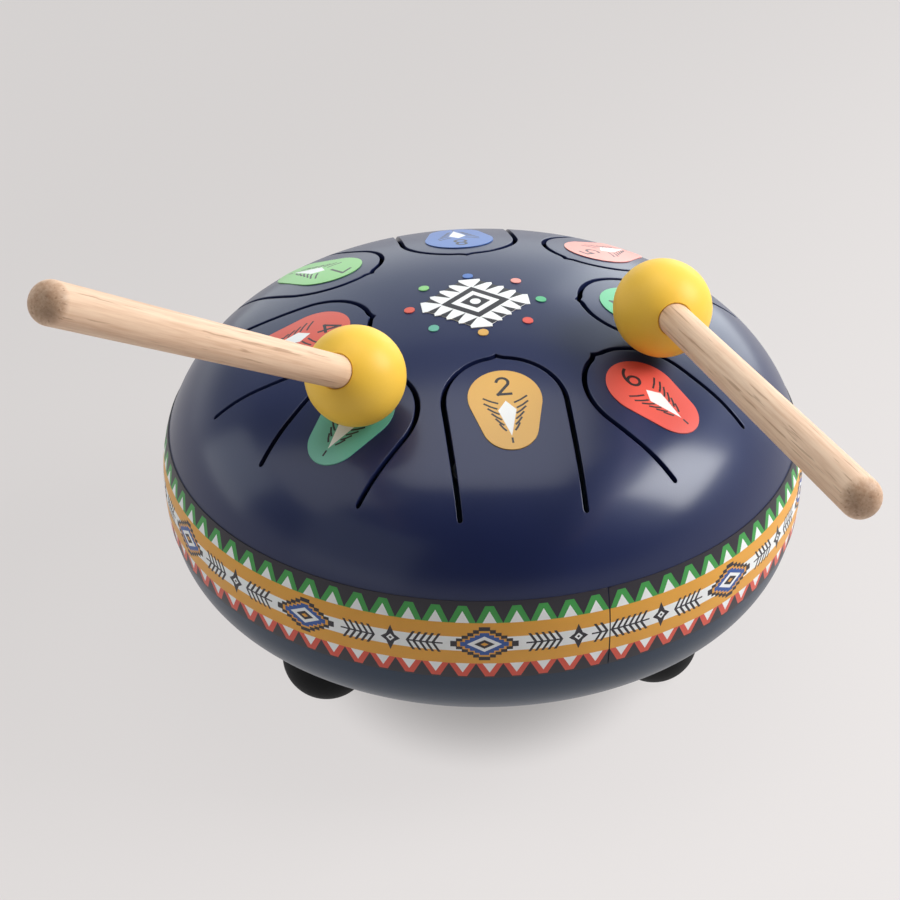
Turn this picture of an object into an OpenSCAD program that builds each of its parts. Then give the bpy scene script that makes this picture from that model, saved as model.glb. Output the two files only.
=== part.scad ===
// Steel tongue drum: two pressed shells welded at the rim, tongues cut in the upper one, and two mallets

/* [Shells] */
// Radius of the drum at its rim, where the shells meet
rim_r = 77.5; // [72:0.5:90]
// Thickness of the sheet steel
steel_t = 1.5; // [0.8:0.1:2.5]
// Height of the upper shell above the rim
dome_h = 43.8; // [40:0.1:50]
// Radius of the rounded shoulder of the upper shell
dome_shoulder_r = 35; // [20:0.5:37]
// Depth of the lower shell below the rim
bowl_h = 42.7; // [40:0.1:50]
// Radius of the nearly upright side of the lower shell
bowl_side_r = 62; // [45:1:75]
// Angle over which that side runs before the shoulder starts
bowl_side_angle = 11.5; // [4:0.5:16]
// Radius of the rounded shoulder of the lower shell
bowl_shoulder_r = 20.6; // [12:0.2:26]
// Radius of the sound port in the middle of the lower shell
port_r = 18; // [10:0.5:24]
// Width of the weld groove at the outside
weld_w = 1.6; // [1:0.1:3]
// Gap between the shells at the root of the weld
weld_root = 0.4; // [0.2:0.1:0.8]
// Radius of the bead that the weld leaves inside
weld_bead_r = 1; // [0.6:0.1:1.6]

/* [Tongues] */
// Angle by which the tongues are turned round the drum, from straight ahead
tongue_angle = 7.25; // [-20:0.25:20]
// Distance between the middles of a tongue's two side slots, as a share of the rim's radius
tongue_w_share = 0.365; // [0.26:0.005:0.37]
// Length of the longest tongue, from its tip to the ends of its slots, as a share of the rim's radius
tongue_l_share = 0.539; // [0.48:0.001:0.56]
// Distance in from the rim to the ends of the slots
slot_inset = 12.8; // [9:0.1:16]
// Width of a slot
slot_w = 1.2; // [0.6:0.1:2]
// Height of the pointed nib on the round tip of a tongue
nib_h = 0.75; // [0.4:0.05:1.4]
// Radius of the hollow curves beside the nib
nib_r = 6; // [4:0.5:9]

/* [Printed film] */
// Thickness of the vinyl of the band
band_t = 0.25; // [0.15:0.05:0.5]
// Width of the band
band_w = 20.3; // [12:0.1:24]
// Distance from the rim down to the middle of the band
band_drop = -0.4; // [-2:0.1:2]
// Angle of the joint in the band, from straight ahead
band_joint_angle = 20.7; // [-60:0.1:60]
// Gap between the ends of the band
band_joint_gap = 0.3; // [0.1:0.1:1]
// Thickness of the labels and of the centre motif
label_t = 0.2; // [0.1:0.05:0.4]
// Glue under the film
glue_t = 0.03; // [0.02:0.01:0.1]
// Distance from the tip of a tongue to its label
label_inset = 5.5; // [3:0.1:7]
// Length of a label, as a share of the longest tongue
label_l_share = 0.55; // [0.44:0.001:0.58]
// Width of the broad end of a label, as a share of a tongue's width
label_w_share = 0.6; // [0.48:0.005:0.7]
// Width of the narrow end of a label, as a share of its broad end
label_end_w_share = 0.76; // [0.5:0.01:0.9]
// Width of the stepped motif, as a share of the crown that the tongues leave free
motif_w_share = 0.558; // [0.42:0.002:0.588]
// Height of the stepped motif, as a share of the same
motif_h_share = 0.488; // [0.36:0.002:0.498]
// Distance to the right from the drum's axis to the middle of the crown print
print_off_x = -1.6; // [-3:0.1:3]
// Distance to the back from the drum's axis to the middle of the crown print
print_off_y = -1.2; // [-3:0.1:3]
// Width of the oval ring of dots, as a share of the same
dot_ring_w_share = 0.685; // [0.66:0.001:0.74]
// Height of the oval ring of dots, as a share of the same
dot_ring_h_share = 0.58; // [0.576:0.001:0.74]
// Diameter of a dot, as a share of the free crown's radius
dot_share = 0.11; // [0.07:0.002:0.114]

/* [Feet] */
// Angle by which the feet are turned round the drum, from straight ahead
foot_angle = 3.9; // [-30:0.1:30]
// Distance in from the rim to the middle of a foot
foot_inset = 32.9; // [28:0.1:38]
// Radius of a foot
foot_r = 10.8; // [8:0.1:13]
// Height of the straight skirt of a foot, above its round end
foot_skirt = 6; // [4:0.1:8]
// Depth to which the rubber is worn flat where it stands
foot_wear = 0.5; // [0.2:0.1:1]
// Radius of the steel disc bonded into a foot
disc_r = 8; // [6:0.1:9]
// Thickness of the steel disc
disc_t = 1.2; // [0.8:0.1:2]
// Diameter of the threaded stud
stud_d = 4; // [3:0.5:5]
// Outer diameter of the washer
washer_d = 9; // [7:0.5:12]
// Thickness of the washer
washer_t = 0.8; // [0.5:0.1:1.5]
// Width of the nut across its flats
nut_w = 7; // [5.5:0.5:8]
// Thickness of the nut
nut_t = 3.2; // [2:0.1:4]
// Length of stud that shows past the nut
stud_spare = 1; // [0.5:0.1:3]

/* [Mallets] */
// Radius of a mallet's round head
head_r = 11.5; // [9:0.1:14]
// Radius of the handle where it enters the head
handle_neck_r = 3.8; // [3:0.1:4.5]
// Radius of the handle at its far end
handle_end_r = 4.3; // [4:0.1:5.5]
// Rounding of the far end of the handle
handle_round = 3.4; // [0.8:0.1:3.9]
// Distance from the middle of the head to the far end of the handle
mallet_l = 140; // [120:1:170]
// Depth of the hole in the head, from its middle to the bottom of the hole
socket_past = 3; // [0:0.1:5]
// Distance in from the rim to the point that the left mallet strikes
left_strike_inset = 31.6; // [28:0.1:37]
// Angle of that point round the drum, from straight ahead
left_strike_angle = -35.6; // [-45:0.1:-30]
// Angle of the left handle round the drum, from straight ahead
left_handle_angle = -26.8; // [-40:0.1:-15]
// Angle at which the left handle rises
left_lift_angle = 34.4; // [25:0.1:45]
// Distance in from the rim to the point that the right mallet strikes
right_strike_inset = 36.9; // [30:0.1:41]
// Angle of that point round the drum, from straight ahead
right_strike_angle = 70.7; // [60:0.1:90]
// Angle of the right handle round the drum, from straight ahead
right_handle_angle = 11.9; // [0:0.1:25]
// Angle at which the right handle rises
right_lift_angle = 14.2; // [8:0.1:25]

/* [Hidden] */
$fn = 96;
tongues = 8;
feet = 3;
cut = 1;
full_turn = 360;
right_angle = 90;

// Tongues in order round the drum from the front, notes 2 6 1 5 8 7 4 3: length as a share of the longest,
// and colour of the label
tongue_length_shares = [0.999, 0.78, 1, 0.73, 0.909, 0.745, 0.927, 0.758];
label_colours = ["#f0b64c", "#e8564c", "#35a867", "#ef7a6b", "#2f5fae", "#67bf5b", "#e4553f", "#5fb8a0"];

arc_fn = 4 * $fn;

// How far one curve stands proud of the next where they run together
blend = 0.01;
// How far the hollow curves of a nib cross the round tip that they run into
nib_blend = 0.05;

// Clearances
strike_gap = 0.3;
socket_play = 0.05;
socket_end_play = 0.3;
stud_play = 0.2;
seat_play = 0.05;
thread_play = 0.05;

slot_end = rim_r - slot_inset;
tongue_w = rim_r * tongue_w_share;
tongue_l = rim_r * tongue_l_share;
tip_bow_r = tongue_w / 2;
tip_reach = tip_bow_r + nib_h;
nib_d = tip_bow_r + nib_r - nib_blend;
nib_a = acos((nib_d ^ 2 + tip_reach ^ 2 - nib_r ^ 2) / (2 * nib_d * tip_reach));

// A shell's outline is up to three arcs that meet in line: side, shoulder and crown
function shoulder_c(side_r, side_a, r) =
    [rim_r - side_r + (side_r - r) * cos(side_a), (side_r - r) * sin(side_a)];
function crown_radius(c, r, h) = (c.x ^ 2 + (h - c.y) ^ 2 - r ^ 2) / (2 * (h - c.y - r));

dome_c = shoulder_c(dome_shoulder_r, 0, dome_shoulder_r);
dome_crown_r = crown_radius(dome_c, dome_shoulder_r, dome_h);
bowl_c = shoulder_c(bowl_side_r, bowl_side_angle, bowl_shoulder_r);
bowl_crown_r = crown_radius(bowl_c, bowl_shoulder_r, bowl_h);

// The feet stand square to the bowl, and their round ends set the height of the rim
foot_tilt = asin((rim_r - foot_inset) / bowl_crown_r);
foot_seat_drop = bowl_h - bowl_crown_r * (1 - cos(foot_tilt));
rim_z = foot_seat_drop + foot_skirt * cos(foot_tilt) + foot_r - foot_wear;

label_lead_r = tongue_w * label_w_share / 2;
label_tail_r = label_lead_r * label_end_w_share;
label_run = tongue_l * label_l_share - label_lead_r - label_tail_r;
label_flare = asin((label_lead_r - label_tail_r) / label_run);

// The crown that the tongues leave free, and its print
free_r = slot_end - tongue_l;
motif_w = 2 * free_r * motif_w_share;
motif_h = 2 * free_r * motif_h_share;
motif_steps = 5;
dot_ring_w = 2 * free_r * dot_ring_w_share;
dot_ring_h = 2 * free_r * dot_ring_h_share;
dot_r = free_r * dot_share / 2;

stud_l = steel_t + washer_t + nut_t + stud_spare;

// Flat shapes

// A round end that is to run into straight sides or wider curves
module round_end(r) {
    circle(r + blend);
}

// The part of a wide disc within an angle to either side of a direction
module sector(c, r, direction, half_angle) {
    intersection() {
        translate(c)
            circle(r, $fn = arc_fn);
        polygon([
            c,
            for (a = [direction - half_angle, direction, direction + half_angle])
                c + 2 * (r + rim_r) * [cos(a), sin(a)]
        ]);
    }
}

// Half of a shell's outline, from the rim up to the crown, grown or shrunk square to its surface
module half_outline(side_r, side_a, shoulder_r, h, grow) {
    c = shoulder_c(side_r, side_a, shoulder_r);
    crown_r = crown_radius(c, shoulder_r, h);
    crown_c = [0, h - crown_r];
    intersection() {
        union() {
            if (side_a > 0)
                sector([rim_r - side_r, 0], side_r + grow, 0, side_a);
            translate(c)
                round_end(shoulder_r + grow);
            sector(crown_c, crown_r + grow, right_angle, atan2(c.x, c.y - crown_c.y));
        }
        square(2 * (rim_r + h));
    }
}

module dome_outline(grow) {
    half_outline(dome_shoulder_r, 0, dome_shoulder_r, dome_h, grow);
}

module bowl_outline(grow) {
    mirror([0, 1])
        half_outline(bowl_side_r, bowl_side_angle, bowl_shoulder_r, bowl_h, grow);
}

// The V of the weld, from its root at the inside of the wall to its full width outside
module weld_groove(reach) {
    flank = (weld_w - weld_root) / 2 / steel_t;
    inner = rim_r - steel_t;
    half = weld_root / 2;
    mouth = half + flank * (steel_t + reach);
    polygon([
        [inner - reach, -half], [inner, -half], [rim_r + reach, -mouth],
        [rim_r + reach, mouth], [inner, half], [inner - reach, half]
    ]);
}

// A tongue's outline: straight sides, a round tip and a small pointed nib, reaching out to an end
module tongue_outline(l, end, grow) {
    bow = slot_end - l + tip_reach;
    translate([bow, 0]) {
        round_end(tip_bow_r + grow);
        translate([0, -tip_bow_r - grow])
            square([end - bow, 2 * (tip_bow_r + grow)]);
        difference() {
            polygon([[0, 0], for (s = [1, -1]) nib_d * [-cos(nib_a), s * sin(nib_a)]]);
            for (s = [-1, 1])
                translate(nib_d * [-cos(nib_a), s * sin(nib_a)])
                    circle(nib_r - grow);
        }
    }
}

module slot_outline(l) {
    difference() {
        tongue_outline(l, slot_end, slot_w / 2);
        tongue_outline(l, slot_end + cut, -slot_w / 2);
    }
    for (s = [-1, 1])
        translate([slot_end, s * tip_bow_r])
            round_end(slot_w / 2);
}

// An egg: a broad and a narrow round end, and the straight flanks that touch both
module label_outline() {
    flank = [sin(label_flare), cos(label_flare)];
    lead = label_lead_r * flank;
    tail = label_tail_r * flank;
    round_end(label_lead_r);
    translate([label_run, 0])
        round_end(label_tail_r);
    polygon([[lead.x, -lead.y], [label_run + tail.x, -tail.y], [label_run + tail.x, tail.y], lead]);
}

// A diamond whose edges go down in steps
module motif_outline() {
    for (i = [1 : motif_steps])
        square([motif_w * (motif_steps + 1 - i), motif_h * i] / motif_steps, center = true);
}

// Solids

module at_rim() {
    translate([0, 0, rim_z])
        children();
}

// Turned from straight ahead, with the child's X axis pointing outwards
module around(turn) {
    rotate([0, 0, turn - right_angle])
        children();
}

// A skin of film that lies on the dome, cut to an outline seen from above
module film_on_dome(thick) {
    intersection() {
        rotate_extrude()
            difference() {
                dome_outline(glue_t + thick);
                dome_outline(glue_t);
            }
        translate([0, 0, dome_h / 4])
            linear_extrude(dome_h)
                children();
    }
}

module at_feet(which) {
    for (i = which)
        around(foot_angle + (i - 1 / 2) * full_turn / feet)
            rotate([0, -foot_tilt, 0])
                translate([0, 0, -bowl_crown_r])
                    children();
}

module at_bowl_centre() {
    translate([0, 0, rim_z - bowl_h + bowl_crown_r])
        children();
}

module upper_shell() {
    color("#252c58")
        at_rim()
            difference() {
                rotate_extrude()
                    difference() {
                        dome_outline(0);
                        dome_outline(-steel_t);
                        weld_groove(cut);
                    }
                for (i = [0 : tongues - 1])
                    around(tongue_angle + i * full_turn / tongues)
                        translate([0, 0, dome_h / 4])
                            linear_extrude(dome_h)
                                slot_outline(tongue_l * tongue_length_shares[i]);
            }
}

module lower_shell() {
    color("#2a3550")
        difference() {
            at_rim()
                rotate_extrude()
                    difference() {
                        bowl_outline(0);
                        bowl_outline(-steel_t);
                        weld_groove(cut);
                        translate([0, -bowl_h - cut])
                            square([port_r, bowl_h]);
                    }
            at_bowl_centre()
                at_feet([0 : feet - 1])
                    cylinder(r = stud_d / 2 + stud_play, h = 2 * (steel_t + cut), center = true);
        }
}

module seam_weld() {
    color("#6d6f73")
        at_rim()
            rotate_extrude() {
                intersection() {
                    weld_groove(0);
                    translate([0, -weld_w])
                        square([rim_r, 2 * weld_w]);
                }
                intersection() {
                    translate([rim_r - steel_t, 0])
                        circle(weld_bead_r);
                    union() {
                        dome_outline(-steel_t);
                        bowl_outline(-steel_t);
                    }
                }
            }
}

module girth_band() {
    gap_a = full_turn * band_joint_gap / (2 * PI * rim_r);
    color("#e0a33c")
        at_rim()
            around(band_joint_angle + gap_a / 2)
                rotate_extrude(angle = full_turn - gap_a)
                    intersection() {
                        difference() {
                            union() {
                                dome_outline(glue_t + band_t);
                                bowl_outline(glue_t + band_t);
                            }
                            union() {
                                dome_outline(glue_t);
                                bowl_outline(glue_t);
                            }
                        }
                        translate([0, -band_drop - band_w / 2])
                            square([rim_r + band_w, band_w]);
                    }
}

module note_label(place) {
    tip = slot_end - tongue_l * tongue_length_shares[place];
    color(label_colours[place])
        at_rim()
            film_on_dome(label_t)
                around(tongue_angle + place * full_turn / tongues)
                    translate([tip + label_inset + label_lead_r, 0])
                        label_outline();
}

module at_crown_print() {
    translate([print_off_x, print_off_y])
        children();
}

module centre_motif() {
    color("white")
        at_rim()
            film_on_dome(label_t)
                at_crown_print()
                    around(tongue_angle + right_angle)
                        motif_outline();
}

module centre_dots() {
    for (i = [0 : tongues - 1]) {
        angle = i * full_turn / tongues - right_angle;
        color(label_colours[i])
            at_rim()
                film_on_dome(label_t)
                    at_crown_print()
                        around(tongue_angle + right_angle)
                            translate([dot_ring_w * cos(angle) / 2, dot_ring_h * sin(angle) / 2])
                                circle(dot_r);
    }
}

// Cuts an upright half section back to the bowl's outer face
module below_bowl() {
    difference() {
        children();
        translate([0, bowl_crown_r])
            circle(bowl_crown_r + seat_play, $fn = arc_fn);
    }
}

// A rubber dome with a straight skirt and a seat for its disc
module foot_section() {
    difference() {
        union() {
            translate([0, -foot_skirt])
                square([foot_r, foot_skirt + cut]);
            intersection() {
                translate([0, -foot_skirt])
                    round_end(foot_r);
                translate([0, -foot_skirt - foot_r - cut])
                    square(2 * foot_r);
            }
        }
        translate([0, -disc_t - seat_play])
            square([disc_r + seat_play, disc_t + 2 * cut]);
    }
}

// A foot stands square to the bowl, and its rubber is worn level with the floor
module foot(i) {
    color("#17181a")
        intersection() {
            at_bowl_centre()
                at_feet([i])
                    rotate_extrude()
                        below_bowl()
                            foot_section();
            translate([0, 0, rim_z / 2])
                cube([4 * rim_r, 4 * rim_r, rim_z], center = true);
        }
}

module foot_studs() {
    color("silver")
        at_bowl_centre()
            at_feet([0 : feet - 1])
                rotate_extrude() {
                    below_bowl()
                        translate([0, -disc_t])
                            square([disc_r, disc_t + cut]);
                    translate([0, -disc_t / 2])
                        square([stud_d / 2, disc_t / 2 + stud_l]);
                }
}

// Height above the bowl's outer face at which a flat ring of a given radius rests inside
function inner_seat(r) =
    bowl_crown_r - sqrt((bowl_crown_r - steel_t) ^ 2 - r ^ 2) + seat_play;

module foot_washers() {
    color("silver")
        at_bowl_centre()
            at_feet([0 : feet - 1])
                translate([0, 0, inner_seat(washer_d / 2)])
                    difference() {
                        cylinder(d = washer_d, h = washer_t);
                        translate([0, 0, -cut])
                            cylinder(r = stud_d / 2 + stud_play, h = washer_t + 2 * cut);
                    }
}

module foot_nuts() {
    color("silver")
        at_bowl_centre()
            at_feet([0 : feet - 1])
                translate([0, 0, inner_seat(washer_d / 2) + washer_t + seat_play])
                    difference() {
                        cylinder(r = nut_w / 2 / cos(30), h = nut_t, $fn = 6);
                        translate([0, 0, -cut])
                            cylinder(r = stud_d / 2 + thread_play, h = nut_t + 2 * cut);
                    }
}

// Places a mallet that points up its own Z axis, with the middle of its head at the origin
module at_mallet(strike_inset, strike_angle, handle_angle, lift_angle) {
    lean = asin((rim_r - strike_inset) / dome_crown_r);
    struck_r = dome_crown_r + glue_t + label_t;
    translate([0, 0, rim_z + dome_h - dome_crown_r])
        around(strike_angle)
            rotate([0, lean, 0])
                translate([0, 0, struck_r + strike_gap + head_r])
                    rotate([0, -lean, 0])
                        rotate([0, 0, right_angle - strike_angle + handle_angle])
                            rotate([right_angle - lift_angle, 0, 0])
                                children();
}

module at_left_mallet() {
    at_mallet(left_strike_inset, left_strike_angle, left_handle_angle, left_lift_angle)
        children();
}

module at_right_mallet() {
    at_mallet(right_strike_inset, right_strike_angle, right_handle_angle, right_lift_angle)
        children();
}

module mallet_head() {
    color("#f2bf35")
        difference() {
            sphere(head_r);
            translate([0, 0, -socket_past])
                cylinder(r = handle_neck_r + socket_play, h = socket_past + head_r + cut);
        }
}

module mallet_handle() {
    start = socket_end_play - socket_past;
    color("#dfb98c")
        rotate_extrude() {
            polygon([
                [0, start], [handle_neck_r, start], [handle_neck_r, head_r],
                [handle_end_r, mallet_l - handle_round], [handle_end_r - handle_round, mallet_l],
                [0, mallet_l]
            ]);
            translate([handle_end_r - handle_round, mallet_l - handle_round])
                intersection() {
                    circle(handle_round);
                    square(handle_round);
                }
        }
}

upper_shell();
lower_shell();
seam_weld();
girth_band();
note_label(place = 2);  // note_label_1
note_label(place = 0);  // note_label_2
note_label(place = 7);  // note_label_3
note_label(place = 6);  // note_label_4
note_label(place = 3);  // note_label_5
note_label(place = 1);  // note_label_6
note_label(place = 5);  // note_label_7
note_label(place = 4);  // note_label_8
centre_motif();
centre_dots();
foot(0);  // foot_front_left
foot(1);  // foot_front_right
foot(2);  // foot_back
foot_studs();
foot_washers();
foot_nuts();
at_left_mallet() mallet_head();  // mallet_left_head
at_left_mallet() mallet_handle();  // mallet_left_handle
at_right_mallet() mallet_head();  // mallet_right_head
at_right_mallet() mallet_handle();  // mallet_right_handle
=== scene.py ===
import math

import bpy
import numpy as np
from bpy.props import FloatProperty, FloatVectorProperty, IntProperty, PointerProperty
from mathutils import Matrix, Vector
from mathutils.geometry import delaunay_2d_cdt


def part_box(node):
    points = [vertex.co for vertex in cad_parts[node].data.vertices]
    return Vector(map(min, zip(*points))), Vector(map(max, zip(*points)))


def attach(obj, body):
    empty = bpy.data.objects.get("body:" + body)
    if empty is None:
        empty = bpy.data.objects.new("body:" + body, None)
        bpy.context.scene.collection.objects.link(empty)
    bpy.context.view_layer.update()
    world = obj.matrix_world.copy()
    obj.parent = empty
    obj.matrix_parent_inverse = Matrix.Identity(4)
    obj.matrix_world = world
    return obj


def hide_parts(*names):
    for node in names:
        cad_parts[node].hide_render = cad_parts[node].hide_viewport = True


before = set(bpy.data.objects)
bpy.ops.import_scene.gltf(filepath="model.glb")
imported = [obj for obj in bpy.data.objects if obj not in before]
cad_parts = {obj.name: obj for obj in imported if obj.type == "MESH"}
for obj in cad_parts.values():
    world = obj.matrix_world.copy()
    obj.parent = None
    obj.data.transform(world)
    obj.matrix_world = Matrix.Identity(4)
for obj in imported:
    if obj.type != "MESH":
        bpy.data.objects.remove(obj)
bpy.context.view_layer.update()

bl_info = {
    "name": "Steel tongue drum",
    "version": (1, 0, 0),
    "blender": (4, 5, 0),
    "location": "View3D > Sidebar > Drum",
    "description": "Dresses a small steel tongue drum and its two mallets, with a plain studio round them",
    "category": "Add Mesh",
}

MM = 0.001
FULL = 2 * math.pi
SQUARE = math.pi / 2

# Tongues in order round the drum from the front
TONGUE_NOTES = (2, 6, 1, 5, 8, 7, 4, 3)
TONGUE_LENGTH_SHARES = (0.999, 0.78, 1, 0.73, 0.909, 0.745, 0.927, 0.758)
LABEL_COLOURS = ("#daa956", "#e2564b", "#4caf7c", "#ec958b", "#466fb8", "#86c77b", "#d65646", "#62ad9a")
TONGUES = len(TONGUE_NOTES)
LONGEST = TONGUE_LENGTH_SHARES.index(1)

# Points round each turned or pressed piece, and rows of them down a shell
SHELL_POINTS = 320
HEAD_POINTS = 112
FOOT_POINTS = 96
HANDLE_POINTS = 72
DOT_POINTS = 32
FLOOR_POINTS = 128
DOME_ROWS = 14
BOWL_ROWS = 60

# Angles at which a rounded edge has its points
FINE_BENDS = np.radians([22.5, 45, 67.5, 90])
COARSE_BENDS = np.radians([30, 60, 90])

# Distance in from the rim to the start of the upper shell's plain rings, outside and inside
PLAIN_OUTSIDE = 8.5 * MM
PLAIN_INSIDE = 10.2 * MM

# Spacing of the loose points between the slots, and how far they keep from the slots
LOOSE_STEP = 2.3 * MM
LOOSE_CLEAR = 0.8 * MM

# How far the hollow curves beside a nib reach into the tongue's arch, so that they meet it
NIB_OVERLAP = 0.05 * MM

# The band's inks, in the order of its finishes, and the sizes of its print
DARK, AMBER, GREEN, RED, BLUE, WHITE = range(6)
UPPER_BORDER = 4.95 * MM
LOWER_BORDER = 4.4 * MM
UPPER_TOOTH = 4.0 * MM
LOWER_TOOTH = 3.95 * MM
TOOTH_W = 0.499
TOOTH_TIP = 0.16
INNER_W = 0.52
INNER_H = 0.7
INNER_TIP = 0.02 * MM
STRIPE_HALF = 1.9 * MM
MEDALLIONS = 11
FIRST_MEDALLION = math.radians(25.3)
MEDALLION_PITCH = math.radians(31.35)
MEDALLION_CLEAR = 9.3 * MM
STAR_CLEAR = 4.1 * MM
END_CLEAR = 3.1 * MM
END_ROOM = 0.4 * MM
STAR_W = 2.262 * MM
STAR_H = 3.362 * MM
STAR_WAIST = 0.9546 * MM
SHAFT_HALF = 0.2 * MM
CHEVRON = np.array([(0, 2.5), (1.5, 0), (0, -2.5), (0.65, -2.5), (2.15, 0), (0.65, 2.5)]) * MM
CHEVRON_PITCH = 1.45 * MM

# The inks of a label or the motif, in the order of its finishes, and the sizes of their prints
GROUND, INK, PALE = range(3)
NUMBER_H = 5.0 * MM
NUMBER_FOOT = 1.0 * MM
PEN = 0.72 * MM
FINE_PEN = 0.46 * MM
EYE_R = 1.3 * MM
NOTCH_OUT = 0.55
NOTCH_IN = 0.85

# Spacing of the loose points inside a film
FILM_STEP = 2.0 * MM

# A foot's hollow over its steel disc, its rounded upper edge, its gap to the bowl, and its ridge
DISC_R = 8.1 * MM
DISC_H = 1.2 * MM
FOOT_EDGE = 0.5 * MM
SEAT_GAP = 0.05 * MM
RIDGE_TOP = 0.02 * MM
RIDGE_LOW = 0.28 * MM

# Play of a handle in its head's bore, rounding of the bore's mouth, and room under the handle's end
BORE_PLAY = 0.05 * MM
BORE_MOUTH = 0.35 * MM
BORE_ROOM = 0.3 * MM

# Rays on which the pale backdrop shows
BACKDROP_RAYS = ("Is Camera Ray", "Is Glossy Ray", "Is Transmission Ray")

# The camera as fitted to the photograph, with its lens in millimetres on a sensor 36 wide
CAMERA_AT = (-7.924 * MM, -595.72 * MM, 436.445 * MM)
CAMERA_RIGHT = (0.99995, -0.00524, -0.00814)
CAMERA_UP = (0.00968, 0.54126, 0.8408)
CAMERA_AHEAD = (0, 0.84084, -0.54128)
CAMERA_LENS = 115.93

# Soft boxes: name, angle round the drum and rise in degrees, distance and size in metres, watts, colour
LAMPS = (
    ("key_box", 89, 37, 0.9, 0.44, 8.4, (1.0, 1.0, 0.98)),
    ("right_box", 139, 16, 1.0, 0.62, 1.1, (0.92, 0.98, 1.0)),
    ("right_back_box", 155, 14, 1.0, 0.5, 1.6, (0.95, 1.0, 1.0)),
    ("back_box", 180, 19, 1.0, 1.0, 2.7, (0.92, 1.0, 1.0)),
    ("far_left_box", -145, 15, 1.0, 0.7, 0.5, (0.9, 0.97, 1.0)),
    ("left_box", -103, 18, 1.0, 0.5, 1.3, (0.95, 1.0, 1.0)),
    ("high_left_box", -86, 50, 1.0, 0.6, 1.6, (1.0, 1.0, 0.96)),
    ("front_box", -45, 22, 1.0, 0.7, 0.9, (0.95, 1.0, 1.0)),
    ("top_box", 180, 79, 1.0, 0.7, 3.9, (1.0, 1.0, 0.98)),
)
LAMP_AIM = Vector((0, 0, 0.06))

# The floor: its radius, and the places and sizes of the painted soft shadow and its dark painted core
FLOOR_R = 2.6
SHADE_AHEAD = 12 * MM
SHADE_STRETCH = 1.1
SHADE_R = 44 * MM
CORE_R = 30 * MM


def linear(code):
    """The linear colour of a hex code."""
    parts = [int(code[i : i + 2], 16) / 255 for i in (1, 3, 5)]
    return tuple(p / 12.92 if p <= 0.04045 else ((p + 0.055) / 1.055) ** 2.4 for p in parts)


# What the user can change


def length(name, description, mm):
    return FloatProperty(name=name, description=description, default=mm * MM, unit="LENGTH", precision=5)


def angle(name, description, degrees):
    return FloatProperty(name=name, description=description, default=math.radians(degrees), unit="ROTATION")


def share(name, description, part):
    return FloatProperty(name=name, description=description, default=part, subtype="FACTOR", min=0, max=1)


def colour(name, description, code):
    return FloatVectorProperty(
        name=name, description=description, default=linear(code), subtype="COLOR", size=3, min=0, max=1
    )


class ShellSizes(bpy.types.PropertyGroup):
    rim_r: length("Rim radius", "Radius of the drum where the two shells meet", 77.5)
    steel_t: length("Steel", "Thickness of the sheet steel", 1.5)
    dome_h: length("Dome height", "Height of the upper shell above the rim", 43.8)
    dome_shoulder_r: length("Dome shoulder", "Radius of the shoulder of the upper shell", 35)
    bowl_h: length("Bowl depth", "Depth of the lower shell below the rim", 42.7)
    bowl_side_r: length("Bowl side", "Radius of the nearly upright side of the lower shell", 62)
    bowl_side_angle: angle("Bowl side angle", "Angle over which that side runs", 11.5)
    bowl_shoulder_r: length("Bowl shoulder", "Radius of the shoulder of the lower shell", 20.6)
    port_r: length("Sound port", "Radius of the hole under the drum", 18)
    weld_w: length("Weld", "Width of the weld groove outside", 1.6)
    weld_root: length("Weld root", "Width of the weld groove inside", 0.4)
    edge_r: length("Edge rounding", "Rounding that the paint gives the edges of the slots", 0.16)


class TongueSizes(bpy.types.PropertyGroup):
    turn: angle("Turn", "Angle of the first tongue from straight ahead", 7.25)
    width_share: share("Width", "Width of a tongue as a share of the rim radius", 0.365)
    length_share: share("Length", "Length of the longest tongue as a share of the rim radius", 0.539)
    inset: length("Inset", "Distance in from the rim to the ends of the slots", 12.8)
    slot_w: length("Slot", "Width of a slot", 1.2)
    nib_h: length("Nib", "Height of the pointed nib on a tongue's tip", 0.75)
    nib_r: length("Nib curve", "Radius of the hollow curves beside the nib", 6)


class FilmSizes(bpy.types.PropertyGroup):
    glue_t: length("Glue", "Glue under the film", 0.03)
    band_t: length("Band thickness", "Thickness of the band's film", 0.25)
    band_w: length("Band width", "Width of the band", 20.3)
    band_drop: length("Band drop", "Distance from the rim down to the band's middle, negative above it", -0.4)
    joint_angle: angle("Joint", "Angle of the joint in the band from straight ahead", 20.7)
    joint_gap: length("Joint gap", "Gap between the ends of the band", 0.3)
    teeth: IntProperty(name="Teeth", description="Triangles in each border of the band", default=80, min=8)
    label_t: length("Label thickness", "Thickness of the labels and of the crown print", 0.2)
    label_inset: length("Label inset", "Distance from a tongue's tip to its label", 5.5)
    label_l_share: share("Label length", "Length of a label as a share of the longest tongue", 0.55)
    label_w_share: share("Label width", "Broad end of a label as a share of the tongue's width", 0.6)
    label_end_share: share("Label end", "Narrow end of a label as a share of its broad end", 0.76)
    motif_w_share: share("Motif width", "Width of the stepped motif as a share of the free crown", 0.558)
    motif_h_share: share("Motif height", "Height of the stepped motif as a share of the free crown", 0.488)
    motif_steps: IntProperty(name="Steps", description="Steps down each edge of the motif", default=5, min=2)
    print_off_x: length("Print right", "Distance from the axis to the crown print, to the right", -1.6)
    print_off_y: length("Print back", "Distance from the axis to the crown print, to the back", -1.2)
    dot_ring_w_share: share("Dot ring width", "Width of the dots' oval as a share of the free crown", 0.685)
    dot_ring_h_share: share("Dot ring height", "Height of the dots' oval as a share of the free crown", 0.58)
    dot_share: share("Dot", "Diameter of a dot as a share of the free crown's radius", 0.11)


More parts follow.
